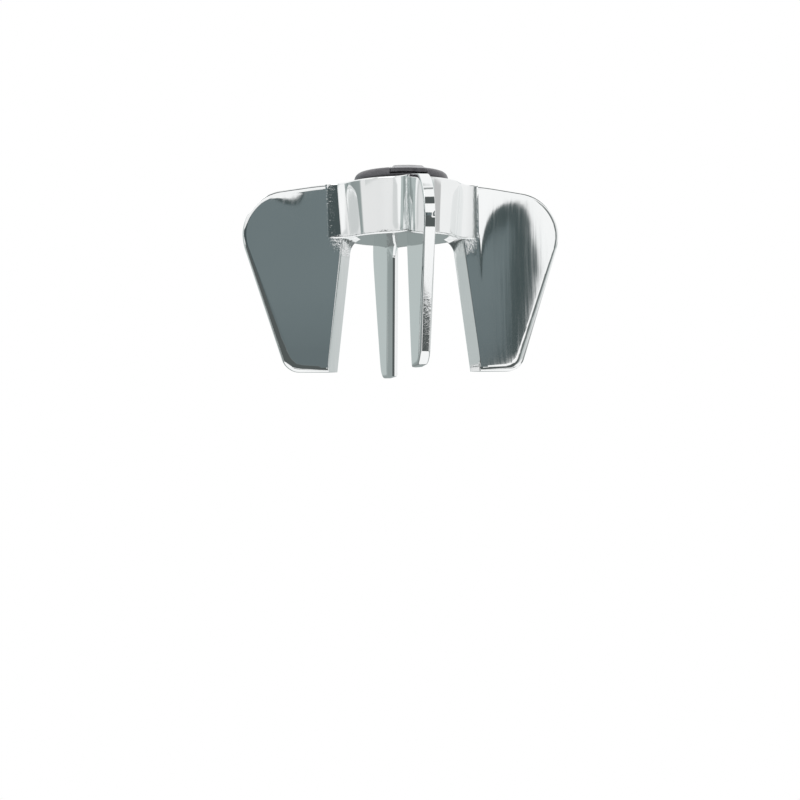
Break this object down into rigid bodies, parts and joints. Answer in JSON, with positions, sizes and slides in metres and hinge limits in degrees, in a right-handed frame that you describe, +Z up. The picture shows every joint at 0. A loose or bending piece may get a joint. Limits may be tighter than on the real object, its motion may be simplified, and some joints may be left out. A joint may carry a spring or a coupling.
{
  "type": "champagne opener",
  "caption": "Cast star-shaped champagne opener: upright radial fins with tapered inner blades on a round hub with a snap-in cap.",
  "frame": {"origin": "on the ground plane under the hub's axis, at the middle of the four feet", "axes": "+Z up along the hub's axis; the fins lie along +X, -X, +Y and -Y; -Y is the front, and the cap plate runs along Y"},
  "size_m": [0.0676, 0.0676, 0.0425],
  "materials": {
    "chrome_plating": "polished chrome plate on cast zinc",
    "cap_plastic": "glossy dark grey moulding",
    "plate_plastic": "glossy dark grey inlay, bare"
  },
  "bodies": {
    "root": {"star_body": "chrome_plating", "cap": "cap_plastic", "cap_plate": "plate_plastic"}
  },
  "joints": []
}
